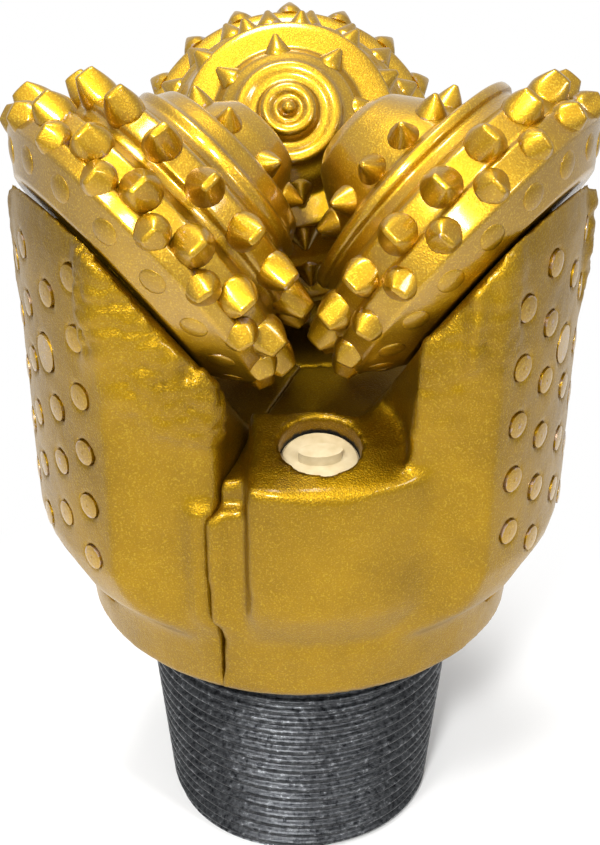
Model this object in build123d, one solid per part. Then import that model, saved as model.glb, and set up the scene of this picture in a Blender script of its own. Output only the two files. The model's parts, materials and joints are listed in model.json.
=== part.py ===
from build123d import *
import os
from math import sin, cos, tan, radians, degrees, hypot

os.makedirs("parts", exist_ok=True)

# Bit as a whole. The origin is the centre of the make-up shoulder, +Z runs up to the cones.
GAUGE_RADIUS = 125.4        # 9-7/8 in hole, half of 250.8
ARM_RADIUS = GAUGE_RADIUS - 4.4   # backs of the arms
LEG_AZIMUTHS = (90, 210, 330)
SECTOR_START = -79          # weld seams, measured from the leg's own azimuth
SECTOR_END = 41

# Threaded pin, API 6-5/8 REG, drawn at the root of the thread
PIN_LENGTH = 124            # 127 less the standard's allowance
PIN_BASE_RADIUS = 76.1      # plain cylinder under the shoulder
PIN_BASE_LENGTH = 9
THREAD_DEPTH = 3.7
PIN_TAPER = 1 / 12          # on radius
WATER_BORE_RADIUS = 35

# Journal axes
JOURNAL_TILT = 35           # degrees down from level
AXIS_OFFSET = 5             # each axis passes this far from the bit's centre line
AXES_HEIGHT = 237.5         # height at which the axes cross the centre line

# Leg body
SHOULDER_RADIUS = 100
SHOULDER_BEVEL = 3
BASE_HEIGHT = 26            # round base under the flats
FLARE_TOP = 60              # the backs reach their full radius here
FLAT_DISTANCE = 94          # flats between the arms
DOME_HEIGHT = 107.5
ARM_TOP = 221
CONE_CLEARANCE = 3          # between the turning rows and the leg bodies

# Bearing, measured outward along the journal axis
BACK_FACE = 111.5           # face of the arm the cone runs against
CONE_BACK = 110
SEAL_JOURNAL_RADIUS = 31
SEAL_START = 103
MAIN_JOURNAL_RADIUS = 28.5
MAIN_JOURNAL_START = 80.2
BUSHING_WALL = 3.45
RUNNING_FIT = 0.05
RACE_POSITION = 73
RACE_PITCH_RADIUS = 27.2
BALL_RADIUS = 5.9
BALL_COUNT = 13
BALL_FREE = 0.3
BALL_JOURNAL_RADIUS = 26
THRUST_FACE = 66
THRUST_WASHER = 2
PILOT_RADIUS = 15
PILOT_END = 48
AXIAL_FREE = 0.4
SEAL_SECTION = 2.65
BALL_HOLE_RADIUS = 7.5
BALL_PLUG_FREE = 0.05
BALL_HOLE_EXIT = AXES_HEIGHT - ARM_RADIUS * tan(radians(JOURNAL_TILT))

# Nozzle in the boss between two arms
NOZZLE_AZIMUTH = -54        # from the leg's own azimuth
NOZZLE_DISTANCE = 80
NOZZLE_TILT = 15
PAD_DISTANCE = 106
PAD_HEIGHT = 107.5
SPOT_FACE_RADIUS = 36       # face cut round the nozzle, into the arm beside it
BOSS_RADIUS = 108
BOSS_START = -21            # along the flat, from its middle
BOSS_END = 42
NOZZLE_BORE = 16.6
NOZZLE_FREE = 0.3
NOZZLE_LENGTH = 26
NOZZLE_TOP = 15             # below the pad
ORIFICE = 6
PASSAGE = 11
PLENUM_RADIUS = 42
PLENUM_TOP = 40
O_RING_SECTION = 1.5
PLUG_DEPTH = 8.3

# Weld strip over each seam
STRIP_START = -46
STRIP_DISTANCE = 99         # face of the strip
STRIP_TOP = 94.5
WELD_BOTTOM = 38
WELD_WIDTH = 8
WELD_PROUD = 1

# Grease reservoir in the shoulder of the leg
RESERVOIR_RADIUS = 17
RESERVOIR_DEPTH = 50
RESERVOIR_MOUTH = (112, 34)
RESERVOIR_RISE = 30
LUBE_HOLE = 3
CAP_THICKNESS = 5
CANISTER_WALL = 1.5
SMALL_FREE = 0.1

# Gauge buttons on the back of each arm: azimuth from the leg's middle, height
BUTTON_RADIUS = 5.3
BUTTON_DEPTH = 7
BUTTON_PROUD = 0.6
BUTTON_COLUMNS = ((-14.5, 76), (-5.5, 63.5), (5.5, 76), (14.5, 63.5))
BUTTON_STEP = 25
BUTTON_TOP = 195

# Outside of each cone, from its back to its nose: (along the axis, radius)
CONE_OUTLINES = {
    1: ((110, 54.5), (98.8, 70), (86.5, 70.3), (84.8, 67), (83, 60.5), (70.5, 58.5), (68, 55),
        (59, 50.5), (50, 45.8), (48.5, 44.5), (47, 47), (43.8, 47.2), (43, 44), (42.3, 34),
        (35, 29.5), (32.5, 25), (31, 23.5), (28, 23.2), (27, 21.5), (27.3, 19), (28.5, 17), (28.5, 13.5),
        (25, 12.5), (23, 11.5), (22.3, 9.5), (23, 7.5), (24.5, 6), (24, 4), (21.5, 3), (20.8, 1.5), (20.5, 0)),
    2: ((110, 54.5), (98.8, 70), (92.5, 70.3), (90.8, 67), (89.5, 68.6), (81, 67.5), (79.5, 63),
        (77, 57), (73, 56), (71.5, 58.2), (61.5, 56), (60, 54), (58, 46), (54.5, 43), (53, 43.6),
        (50, 43.6), (49, 40.5), (42, 37), (40.6, 33), (40.2, 27), (32, 22.5), (25, 17), (23, 10),
        (22.5, 0)),
    3: ((110, 54.5), (98.8, 70), (87, 70.3), (85.5, 67.5), (73.5, 65.3), (72, 61), (70.8, 56.5),
        (65.5, 53), (63.8, 55.2), (60.2, 55), (59, 50), (57.6, 45), (56, 36.5), (45, 31.5),
        (40, 28.5), (30, 22), (26, 16), (25, 0)),
}

# Rows of inserts: name, kind, seat along the axis, seat radius, lean towards the back,
# insert radius, height out of the cone, depth in the cone, how many, first angle
CONE_ROWS = {
    1: (("heel", "dome", 104.4, 62.2, 54, 5.5, 0.8, 8, 18, 10),
        ("gauge", "chisel", 92.5, 70, 20, 5.5, 6.5, 9, 18, 0),
        ("outer", "round", 76.5, 58.8, 0, 6, 8, 10, 20, 9),
        ("middle", "point", 54.2, 47.6, -17, 6.2, 8.6, 10, 13, 6),
        ("nose", "point", 40, 31.3, -15, 5.5, 8, 9, 8, -9)),
    2: (("heel", "dome", 104.4, 62.2, 54, 5.5, 0.8, 8, 16, 20),
        ("gauge", "chisel", 93.6, 70, 20, 5.2, 5.8, 9, 16, 9),
        ("outer", "chisel", 86, 68, 2, 6.2, 8.8, 12, 16, 20.25),
        ("middle", "chisel", 66.4, 57, -6, 6.8, 10.8, 11, 16, 8),
        ("nose", "point", 37.3, 25.2, -25, 5, 7.8, 8, 7, 20)),
    3: (("heel", "dome", 104.4, 62.2, 54, 5.5, 0.8, 8, 18, 14),
        ("gauge", "chisel", 92.5, 70, 20, 5.2, 6.3, 9, 18, 4),
        ("outer", "chisel", 79, 66.2, -3, 6.2, 8.8, 12, 18, 14),
        ("nose", "point", 50.1, 33.4, -20, 5.5, 8.5, 9, 12, 10)),
}

# Space the turning rows sweep, used to hollow the leg bodies: (along the axis, radius)
SWEEP = ((14, 0), (14, 24), (38, 42), (52, 58), (64, 70), (78, 77), (97, 79), (104, 68), (110, 57))


def cone_plane(azimuth):
    """Frame of one journal: local z runs outward along its axis, local x upward."""
    a = radians(azimuth)
    tilt = radians(JOURNAL_TILT)
    along = (cos(tilt) * cos(a), cos(tilt) * sin(a), -sin(tilt))
    upward = (sin(tilt) * cos(a), sin(tilt) * sin(a), cos(tilt))
    origin = (-AXIS_OFFSET * sin(a), AXIS_OFFSET * cos(a), AXES_HEIGHT)
    return Plane(origin=origin, x_dir=upward, z_dir=along)


def spun(points):
    """Solid of revolution about local z from (height, radius) points."""
    outline = Polyline([(radius, 0, height) for height, radius in points], close=True)
    return revolve(make_face(outline), Axis.Z)


def ring(position, pitch_radius, section_radius):
    return Pos(0, 0, position) * Torus(pitch_radius, section_radius)


def rod(start, end, radius):
    """Round bar between two points."""
    way = Vector(*end) - Vector(*start)
    plane = Plane(origin=start, z_dir=way)
    return plane * Cylinder(radius, way.length, align=(Align.CENTER, Align.CENTER, Align.MIN))


def tube(outer, inner, height):
    low = (Align.CENTER, Align.CENTER, Align.MIN)
    return Cylinder(outer, height, align=low) - Cylinder(inner, height, align=low)


def slab(normal_azimuth, distance, low, high):
    """Big block lying outside a flat at this distance from the centre line."""
    block = Box(200, 400, high - low, align=(Align.MIN, Align.CENTER, Align.MIN))
    return Rot(0, 0, normal_azimuth) * Pos(distance, 0, low) * block


def sector():
    """Wedge of one leg, seam to seam, in the leg's own frame."""
    reach = 400
    middle = (SECTOR_START + SECTOR_END) / 2
    corners = [(0, 0)]
    for angle in (SECTOR_START, middle, SECTOR_END):
        corners.append((reach * cos(radians(angle)), reach * sin(radians(angle))))
    base = make_face(Polyline([(x, y, -PIN_LENGTH - 5) for x, y in corners], close=True))
    return extrude(base, amount=PIN_LENGTH + ARM_TOP + 20, dir=(0, 0, 1))


def lower_body():
    """Pin, shoulder and body up to the dome, with the water bore and plenum."""
    root_radius = PIN_BASE_RADIUS - THREAD_DEPTH
    end_radius = root_radius - PIN_TAPER * (PIN_LENGTH - PIN_BASE_LENGTH)
    return spun((
        (-PIN_LENGTH, WATER_BORE_RADIUS), (-PIN_LENGTH, end_radius - 2), (-PIN_LENGTH + 2, end_radius),
        (-PIN_BASE_LENGTH - THREAD_DEPTH, root_radius), (-PIN_BASE_LENGTH, PIN_BASE_RADIUS),
        (0, PIN_BASE_RADIUS), (0, SHOULDER_RADIUS - SHOULDER_BEVEL), (SHOULDER_BEVEL, SHOULDER_RADIUS),
        (BASE_HEIGHT + 1, SHOULDER_RADIUS + 1.5), (BASE_HEIGHT + 8, ARM_RADIUS - 12),
        (BASE_HEIGHT + 14, ARM_RADIUS - 6), (BASE_HEIGHT + 22, ARM_RADIUS - 3), (FLARE_TOP, ARM_RADIUS),
        (DOME_HEIGHT - 4, ARM_RADIUS), (DOME_HEIGHT, 70), (DOME_HEIGHT + 3, 0), (PLENUM_TOP + 14, 0),
        (PLENUM_TOP + 10, 22), (PLENUM_TOP, PLENUM_RADIUS - 4), (PLENUM_TOP - 8, PLENUM_RADIUS),
        (0, PLENUM_RADIUS), (-12, WATER_BORE_RADIUS)))


def arm(plane):
    """Arm above the dome, behind the face its cone runs against."""
    whole = spun(((FLARE_TOP, 0), (FLARE_TOP, ARM_RADIUS), (ARM_TOP - 26, ARM_RADIUS),
                  (ARM_TOP - 10, ARM_RADIUS - 2), (ARM_TOP, ARM_RADIUS - 7), (ARM_TOP, 0)))
    behind = plane * Pos(0, 0, BACK_FACE) * Box(400, 400, 200, align=(Align.CENTER, Align.CENTER, Align.MIN))
    return whole & behind


def nozzle_plane():
    """Frame of the nozzle: origin on the pad, local z out of the body."""
    a = radians(NOZZLE_AZIMUTH)
    tilt = radians(NOZZLE_TILT)
    height = PAD_HEIGHT + (PAD_DISTANCE - NOZZLE_DISTANCE) * tan(tilt)
    out = (sin(tilt) * cos(a), sin(tilt) * sin(a), cos(tilt))
    return Plane(origin=(NOZZLE_DISTANCE * cos(a), NOZZLE_DISTANCE * sin(a), height),
                 x_dir=(-sin(a), cos(a), 0), z_dir=out)


def flat_prism(corners):
    """Upright prism in the frame of the flat at -60: x away from the centre, y along the flat."""
    base = make_face(Polyline([(x, y, 0) for x, y in corners], close=True))
    return Rot(0, 0, -60) * extrude(base, amount=ARM_TOP, dir=(0, 0, 1))


def boss():
    """Round-backed boss for the nozzle. One side steps off the flat, the other fades into it."""
    low = BASE_HEIGHT - 12
    whole = spun(((low, 0), (low, 90), (BASE_HEIGHT + 1, SHOULDER_RADIUS), (BASE_HEIGHT + 22, BOSS_RADIUS),
                  (DOME_HEIGHT + 30, BOSS_RADIUS), (DOME_HEIGHT + 30, 0)))
    block = whole & flat_prism(((60, BOSS_START), (120, BOSS_START), (BOSS_RADIUS + 10, 0),
                                (FLAT_DISTANCE - 1, BOSS_END + 22), (60, BOSS_END)))
    above = nozzle_plane() * Box(300, 300, 100, align=(Align.CENTER, Align.CENTER, Align.MIN))
    return block - above


def spot_face():
    """Cutter that faces the pad round the nozzle and opens a way above it."""
    return nozzle_plane() * Cylinder(SPOT_FACE_RADIUS, 90, align=(Align.CENTER, Align.CENTER, Align.MIN))


def weld_strip():
    """Raised strip that carries the seam weld. It crosses the seam, so both legs have part."""
    low = BASE_HEIGHT - 12
    whole = spun(((low, 0), (low, 90), (BASE_HEIGHT + 1, SHOULDER_RADIUS), (BASE_HEIGHT + 20, BOSS_RADIUS + 2),
                  (STRIP_TOP, BOSS_RADIUS + 2), (STRIP_TOP, 0)))
    return whole & flat_prism(((60, STRIP_START), (STRIP_DISTANCE - 3, STRIP_START), (STRIP_DISTANCE, STRIP_START + 3),
                               (STRIP_DISTANCE, BOSS_START + 2), (60, BOSS_START + 2)))


def seam_weld():
    """Bead laid over the seam at the start of a leg's sector."""
    seam_on_strip = STRIP_DISTANCE * tan(radians(SECTOR_START + 60))
    bead = Box(4 + WELD_PROUD, WELD_WIDTH, STRIP_TOP - 4 - WELD_BOTTOM, align=(Align.MIN, Align.CENTER, Align.MIN))
    bead = chamfer(bead.edges().filter_by(Axis.Z).sort_by(Axis.X)[-2:], WELD_PROUD * 0.8)
    return Rot(0, 0, -60) * Pos(STRIP_DISTANCE - 4, seam_on_strip, WELD_BOTTOM) * bead


def journal():
    """Journal, ball race and pilot pin in the cone's frame."""
    pin = spun(((BACK_FACE + 1, 0), (BACK_FACE + 1, SEAL_JOURNAL_RADIUS), (SEAL_START, SEAL_JOURNAL_RADIUS),
                (SEAL_START, MAIN_JOURNAL_RADIUS), (MAIN_JOURNAL_START, MAIN_JOURNAL_RADIUS),
                (MAIN_JOURNAL_START, BALL_JOURNAL_RADIUS), (THRUST_FACE, BALL_JOURNAL_RADIUS),
                (THRUST_FACE, PILOT_RADIUS), (PILOT_END + 1, PILOT_RADIUS), (PILOT_END, PILOT_RADIUS - 1),
                (PILOT_END, 0)))
    return pin - ring(RACE_POSITION, RACE_PITCH_RADIUS, BALL_RADIUS + BALL_FREE)


def ball_hole(radius):
    """Hole from the back of the arm to the race, through which the balls go in."""
    return rod((0, 0, 165), (-25, 0, 76), radius)


def reservoir_plane():
    rise = radians(RESERVOIR_RISE)
    return Plane(origin=(RESERVOIR_MOUTH[0], 0, RESERVOIR_MOUTH[1]), x_dir=(0, 1, 0),
                 z_dir=(-cos(rise), 0, sin(rise)))


def reservoir_pocket():
    """Stepped pocket with a groove for its snap ring, open to the shoulder."""
    low = (Align.CENTER, Align.CENTER, Align.MIN)
    pocket = Pos(0, 0, -30) * Cylinder(RESERVOIR_RADIUS, 30 + RESERVOIR_DEPTH, align=low)
    groove = Pos(0, 0, 3) * Cylinder(RESERVOIR_RADIUS + 1.5, 2, align=low)
    return reservoir_plane() * (pocket + groove)


def lube_hole(plane):
    """Grease way from the bottom of the reservoir to the ball hole."""
    start = reservoir_plane().from_local_coords(Vector(0, 0, RESERVOIR_DEPTH - 2))
    end = plane.from_local_coords(Vector(-15, 0, 111.6))
    return rod(start.to_tuple(), end.to_tuple(), LUBE_HOLE)


def nozzle_space():
    """Bore for the nozzle with its ring grooves, and the passage down to the plenum."""
    low = (Align.CENTER, Align.CENTER, Align.MIN)
    depth = NOZZLE_TOP + NOZZLE_LENGTH
    bore = Pos(0, 0, -depth) * Cylinder(NOZZLE_BORE, depth + 60, align=low)
    bore += Pos(0, 0, -NOZZLE_TOP) * Cylinder(NOZZLE_BORE + 1.6, 2.2, align=low)
    bore += Pos(0, 0, -NOZZLE_TOP - 13) * Cylinder(NOZZLE_BORE + 2.9, 3.4, align=low)
    plane = nozzle_plane()
    start = plane.from_local_coords(Vector(0, 0, -depth + 1))
    a = radians(NOZZLE_AZIMUTH)
    end = (30 * cos(a), 30 * sin(a), PLENUM_TOP - 20)
    return plane * bore + rod(start.to_tuple(), end, PASSAGE)


def button_places():
    places = []
    for angle, first in BUTTON_COLUMNS:
        height = first
        while height < BUTTON_TOP:
            if hypot(height - BALL_HOLE_EXIT, radians(angle) * ARM_RADIUS - AXIS_OFFSET) > 16:
                places.append((angle, height))
            height += BUTTON_STEP
    return places


def buttons():
    """Flush domed buttons in the back of the arm."""
    body = spun(((-BUTTON_DEPTH, 0), (-BUTTON_DEPTH, BUTTON_RADIUS), (0.1, BUTTON_RADIUS),
                 (BUTTON_PROUD * 0.7, BUTTON_RADIUS * 0.65), (BUTTON_PROUD, 0)))
    made = []
    for angle, height in button_places():
        place = Rot(0, 0, angle) * Pos(ARM_RADIUS, 0, height) * Rot(0, 90, 0)
        made.append(place * body)
    return made


def button_holes():
    low = (Align.CENTER, Align.CENTER, Align.MIN)
    hole = Pos(0, 0, -BUTTON_DEPTH) * Cylinder(BUTTON_RADIUS, BUTTON_DEPTH + 5, align=low)
    return [Rot(0, 0, angle) * Pos(ARM_RADIUS, 0, height) * Rot(0, 90, 0) * hole
            for angle, height in button_places()]


def sweep_cut(plane):
    """Space one turning cone needs, with clearance."""
    points = [(height, radius + CONE_CLEARANCE if radius else 0) for height, radius in SWEEP]
    points += [(BACK_FACE, 57 + CONE_CLEARANCE), (BACK_FACE, 0)]
    return plane * spun(points)


def leg_blank(plane, other_planes):
    """Leg in its own frame before drilling."""
    blank = lower_body() + arm(plane)
    for side in (-60, 60):
        blank -= slab(side, FLAT_DISTANCE, BASE_HEIGHT, ARM_TOP + 20)
    blank += boss() + weld_strip()
    blank += Rot(0, 0, 120) * weld_strip()
    blank -= spot_face()
    blank -= Rot(0, 0, 120) * spot_face()
    for each in [plane] + other_planes:
        blank -= sweep_cut(each)
    blank = blank & sector()
    return blank + plane * journal()


def insert(kind, radius, height, depth):
    """Carbide insert standing on local z = 0."""
    if kind == "dome":
        return spun(((-depth, 0), (-depth, radius), (0, radius), (height * 0.75, radius * 0.6), (height, 0)))
    if kind == "point":
        return spun(((-depth, 0), (-depth, radius), (height * 0.2, radius), (height * 0.8, radius * 0.45),
                     (height, radius * 0.16), (height, 0)))
    if kind == "round":
        return spun(((-depth, 0), (-depth, radius), (height * 0.3, radius), (height * 0.78, radius * 0.72),
                     (height * 0.96, radius * 0.34), (height, 0)))
    body = spun(((-depth, 0), (-depth, radius), (height * 0.25, radius), (height * 0.9, radius * 0.74),
                 (height, radius * 0.6), (height, 0)))
    crest = radius * 0.2
    lean = degrees((radius - crest) / hypot(height * 0.8, radius - crest))
    for side in (-1, 1):
        block = Box(40, 40, 40, align=(Align.CENTER, Align.MIN, Align.CENTER))
        cutter = Pos(0, crest, height) * Rot(lean * 0.72, 0, 0) * block
        body -= cutter if side > 0 else mirror(cutter, Plane.XZ)
    return body


def row_places(row):
    """Frames of every insert of a row, in the cone's frame."""
    name, kind, position, seat, lean, radius, height, depth, count, first = row
    for number in range(count):
        angle = first + 360 / count * number
        yield Rot(0, 0, angle) * Pos(seat, 0, position) * Rot(0, 90 - lean, 0)


def cone_bore():
    """Bearing bore with its ball race, in the cone's frame."""
    bushing_radius = MAIN_JOURNAL_RADIUS + RUNNING_FIT + BUSHING_WALL
    low = MAIN_JOURNAL_START - AXIAL_FREE
    washer = THRUST_FACE - THRUST_WASHER - 0.3
    gland = SEAL_JOURNAL_RADIUS + 0.3 + 2 * SEAL_SECTION + SMALL_FREE
    lip = SEAL_JOURNAL_RADIUS + 1
    bore = spun(((CONE_BACK + 5, 0), (CONE_BACK + 5, lip), (CONE_BACK - 1, lip), (CONE_BACK - 1, gland),
                 (SEAL_START + 0.5, gland), (SEAL_START + 0.5, bushing_radius), (low, bushing_radius),
                 (low, BALL_JOURNAL_RADIUS + 2), (washer, BALL_JOURNAL_RADIUS + 2),
                 (washer, PILOT_RADIUS + RUNNING_FIT), (PILOT_END - 0.5, PILOT_RADIUS + RUNNING_FIT),
                 (PILOT_END - 0.5, 0)))
    return bore + ring(RACE_POSITION, RACE_PITCH_RADIUS, BALL_RADIUS + BALL_FREE)


def save(shapes, node):
    shapes = shapes if isinstance(shapes, list) else [shapes]
    shape = shapes[0] if len(shapes) == 1 else Compound(children=shapes)
    export_step(shape, f"parts/{node}.step")
    print(node, "saved")


def make_cone(number, world):
    """Cone shell, its rows of inserts and the bearing pieces that turn with it."""
    shell = spun(CONE_OUTLINES[number] + ((CONE_BACK, 0),)) - cone_bore()
    holes = []
    for row in CONE_ROWS[number]:
        name, kind, position, seat, lean, radius, height, depth, count, first = row
        low = (Align.CENTER, Align.CENTER, Align.MIN)
        hole = Pos(0, 0, -depth) * Cylinder(radius, depth + 12, align=low)
        piece = insert(kind, radius, height, depth)
        holes += [place * hole for place in row_places(row)]
        save([world * place * piece for place in row_places(row)], f"cone_{number}_{name}_inserts")
    save(world * (shell - holes), f"cone_{number}_shell")
    inside = MAIN_JOURNAL_RADIUS + RUNNING_FIT
    bushing = Pos(0, 0, MAIN_JOURNAL_START + 0.2) * tube(inside + BUSHING_WALL, inside, 22)
    save(world * bushing, f"cone_{number}_bushing")
    seal_radius = SEAL_JOURNAL_RADIUS + 0.3 + SEAL_SECTION
    save(world * ring((SEAL_START + CONE_BACK) / 2 - 0.25, seal_radius, SEAL_SECTION), f"cone_{number}_seal")


def make_leg(number, turn, plane, other_planes):
    """Leg, and the pieces that stay still in it."""
    blank = leg_blank(plane, other_planes)
    hole = plane * ball_hole(BALL_HOLE_RADIUS)
    plug = (plane * ball_hole(BALL_HOLE_RADIUS - BALL_PLUG_FREE)) & blank
    drilled = blank - hole - lube_hole(plane) - reservoir_pocket() - nozzle_space() - button_holes()
    drilled -= seam_weld()
    drilled -= Rot(0, 0, 120) * seam_weld()
    save(turn * drilled, f"leg_{number}")
    save(turn * (plug - lube_hole(plane)), f"ball_plug_{number}")
    save([turn * each for each in buttons()], f"leg_{number}_gauge_buttons")
    save(turn * seam_weld(), f"seam_weld_{number}")


def make_reservoir(number, turn):
    """Grease canister, its rubber diaphragm and the cap."""
    inside = RESERVOIR_RADIUS - SMALL_FREE
    canister = Pos(0, 0, 12) * (tube(inside, inside - CANISTER_WALL, RESERVOIR_DEPTH - 16))
    floor = Pos(0, 0, RESERVOIR_DEPTH - 6) * tube(inside - CANISTER_WALL, 4, 2)
    frame = turn * Location(reservoir_plane())
    save(frame * (canister + floor), f"reservoir_canister_{number}")
    lip = Pos(0, 0, 10) * tube(inside, inside - 6, 2)
    wall = Pos(0, 0, 12) * tube(inside - 4, inside - 6, 16)
    end = Pos(0, 0, 26) * Cylinder(inside - 6, 2, align=(Align.CENTER, Align.CENTER, Align.MIN))
    save(frame * (lip + wall + end), f"reservoir_diaphragm_{number}")
    cap = Pos(0, 0, 5) * Cylinder(inside, CAP_THICKNESS, align=(Align.CENTER, Align.CENTER, Align.MIN))
    cap -= Pos(0, 0, 5) * Cylinder(3, CAP_THICKNESS, align=(Align.CENTER, Align.CENTER, Align.MIN))
    save(frame * cap, f"reservoir_cap_{number}")


def snap_ring(outer, inner, thickness):
    """Open spring ring."""
    gap = Pos(inner, 0, 0) * Box(outer, 5, 3 * thickness)
    return tube(outer, inner, thickness) - gap


def make_nozzle(number, turn):
    """Carbide nozzle and the plastic plug pushed in above it."""
    frame = turn * Location(nozzle_plane())
    outside = NOZZLE_BORE - NOZZLE_FREE
    bottom = -NOZZLE_TOP - NOZZLE_LENGTH
    nozzle = spun(((bottom, PASSAGE), (bottom, outside), (-NOZZLE_TOP, outside), (-NOZZLE_TOP, ORIFICE + 4),
                   (-NOZZLE_TOP - 4, ORIFICE), (bottom + 10, ORIFICE)))
    save(frame * nozzle, f"nozzle_{number}")
    disc = spun(((-PLUG_DEPTH - 4.4, 0), (-PLUG_DEPTH - 4.4, outside), (-PLUG_DEPTH - 1, outside),
                 (-PLUG_DEPTH, outside - 1), (-PLUG_DEPTH, 0)))
    grip = Pos(0, 0, -PLUG_DEPTH) * extrude(Ellipse(9, 4), 5)
    stem = Pos(0, 0, -NOZZLE_TOP - 3) * Cylinder(ORIFICE - 0.5, 6)
    save(frame * (disc + grip + stem), f"nozzle_plug_{number}")


def main():
    local_planes = [cone_plane(0), cone_plane(120), cone_plane(240)]
    nozzle_rings = []
    nozzle_seals = []
    reservoir_rings = []
    for number, azimuth in enumerate(LEG_AZIMUTHS, 1):
        turn = Rot(0, 0, azimuth)
        world = Location(cone_plane(azimuth))
        make_leg(number, turn, local_planes[0], local_planes[1:])
        make_cone(number, world)
        balls = [Rot(0, 0, 360 / BALL_COUNT * i) * Pos(RACE_PITCH_RADIUS, 0, RACE_POSITION) * Sphere(BALL_RADIUS)
                 for i in range(BALL_COUNT)]
        save([world * each for each in balls], f"cone_{number}_balls")
        washer = Pos(0, 0, THRUST_FACE - THRUST_WASHER) * tube(25, PILOT_RADIUS + RUNNING_FIT, THRUST_WASHER)
        save(world * washer, f"cone_{number}_thrust_washer")
        make_reservoir(number, turn)
        make_nozzle(number, turn)
        low_ring = Pos(0, 0, -NOZZLE_TOP + 0.1) * snap_ring(NOZZLE_BORE + 1.4, NOZZLE_BORE - 2.6, 2)
        nozzle_rings.append(turn * Location(nozzle_plane()) * low_ring)
        seal = ring(-NOZZLE_TOP - 11.3, NOZZLE_BORE - NOZZLE_FREE + 0.1 + O_RING_SECTION, O_RING_SECTION)
        nozzle_seals.append(turn * Location(nozzle_plane()) * seal)
        cap_ring = Pos(0, 0, 3.05) * snap_ring(RESERVOIR_RADIUS + 1.3, RESERVOIR_RADIUS - 3, 1.9)
        reservoir_rings.append(turn * Location(reservoir_plane()) * cap_ring)
    save(nozzle_rings, "nozzle_snap_rings")
    save(nozzle_seals, "nozzle_o_rings")
    save(reservoir_rings, "reservoir_snap_rings")


main()
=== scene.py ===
import json
import math
import bmesh
import bpy
import numpy as np
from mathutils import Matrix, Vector


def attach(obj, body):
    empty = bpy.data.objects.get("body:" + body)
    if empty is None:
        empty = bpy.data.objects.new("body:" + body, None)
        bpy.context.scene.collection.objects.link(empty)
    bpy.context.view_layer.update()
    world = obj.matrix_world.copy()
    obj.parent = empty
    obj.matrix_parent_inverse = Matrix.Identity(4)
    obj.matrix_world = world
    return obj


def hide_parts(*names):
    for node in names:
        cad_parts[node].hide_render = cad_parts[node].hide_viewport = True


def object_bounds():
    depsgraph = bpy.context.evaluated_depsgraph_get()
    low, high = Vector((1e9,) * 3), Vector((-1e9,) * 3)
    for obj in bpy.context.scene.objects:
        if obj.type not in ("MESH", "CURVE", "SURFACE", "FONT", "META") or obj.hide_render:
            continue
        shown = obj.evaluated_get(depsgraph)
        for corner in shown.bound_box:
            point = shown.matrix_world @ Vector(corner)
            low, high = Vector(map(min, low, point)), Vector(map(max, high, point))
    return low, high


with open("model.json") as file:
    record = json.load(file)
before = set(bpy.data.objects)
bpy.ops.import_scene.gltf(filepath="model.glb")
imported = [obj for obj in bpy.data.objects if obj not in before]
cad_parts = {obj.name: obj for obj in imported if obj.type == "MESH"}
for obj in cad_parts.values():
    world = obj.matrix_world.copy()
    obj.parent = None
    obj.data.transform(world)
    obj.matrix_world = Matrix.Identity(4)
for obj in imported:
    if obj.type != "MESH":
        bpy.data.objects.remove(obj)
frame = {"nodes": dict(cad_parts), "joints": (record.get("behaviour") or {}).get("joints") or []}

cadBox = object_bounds()
millimetre = 0.001
metre = 1000        # in millimetres, which the measures below are in
legAzimuths = {1: 90.0, 2: 210.0, 3: 330.0}
standHeight = cadBox[0][2]


# mesh helpers

def meshFromArrays(name, points, faces, body):
    # one object from vertex and face arrays, smooth, riding on a body
    mesh = bpy.data.meshes.new(name)
    mesh.from_pydata(points.reshape(-1, 3).tolist(), [], faces.tolist())
    mesh.polygons.foreach_set("use_smooth", np.ones(len(mesh.polygons), dtype=bool))
    mesh.update()
    piece = bpy.data.objects.new(name, mesh)
    bpy.context.collection.objects.link(piece)
    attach(piece, body)
    return piece


def finishSkin(piece, sharpAngle=50):
    # merges the poles, turns every face outward and marks the few real corners
    work = bmesh.new()
    work.from_mesh(piece.data)
    bmesh.ops.remove_doubles(work, verts=work.verts, dist=4e-5)
    bmesh.ops.recalc_face_normals(work, faces=work.faces)
    work.to_mesh(piece.data)
    work.free()
    piece.data.set_sharp_from_angle(angle=math.radians(sharpAngle))
    piece.data.update()


def gridFaces(rows, columns):
    # quads over a grid of rows by columns, joined round the columns
    row, column = np.meshgrid(np.arange(rows - 1), np.arange(columns), indexing="ij")
    following = (column + 1) % columns
    quads = np.stack([row * columns + column, row * columns + following,
                      (row + 1) * columns + following, (row + 1) * columns + column], axis=-1)
    return quads.reshape(-1, 4)


def spinProfile(profile, steps):
    # point (height, radius) of the profile goes to radius*cos(angle), radius*sin(angle), height
    angles = np.linspace(0, 2 * np.pi, steps, endpoint=False)
    heights = np.repeat(profile[:, :1], steps, axis=1)
    across = profile[:, 1:] * np.cos(angles)
    along = profile[:, 1:] * np.sin(angles)
    return np.stack([across, along, heights], axis=-1)


def softenProfile(points, step, spread):
    # walks the outline at even steps, then blurs it along its length so that corners turn round
    points = np.asarray(points, float)
    lengths = np.concatenate([[0], np.cumsum(np.hypot(*np.diff(points, axis=0).T))])
    count = max(int(lengths[-1] / step), 8)
    walk = np.linspace(0, lengths[-1], count)
    even = np.stack([np.interp(walk, lengths, points[:, axis]) for axis in (0, 1)], axis=-1)
    reach = int(3 * spread / step)
    weights = np.exp(-0.5 * (np.arange(-reach, reach + 1) * step / spread) ** 2)
    weights /= weights.sum()
    padded = np.pad(even, ((reach, reach), (0, 0)), mode="edge")
    soft = np.stack([np.convolve(padded[:, axis], weights, mode="valid") for axis in (0, 1)], axis=-1)
    soft[0], soft[-1] = even[0], even[-1]
    return soft


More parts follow.
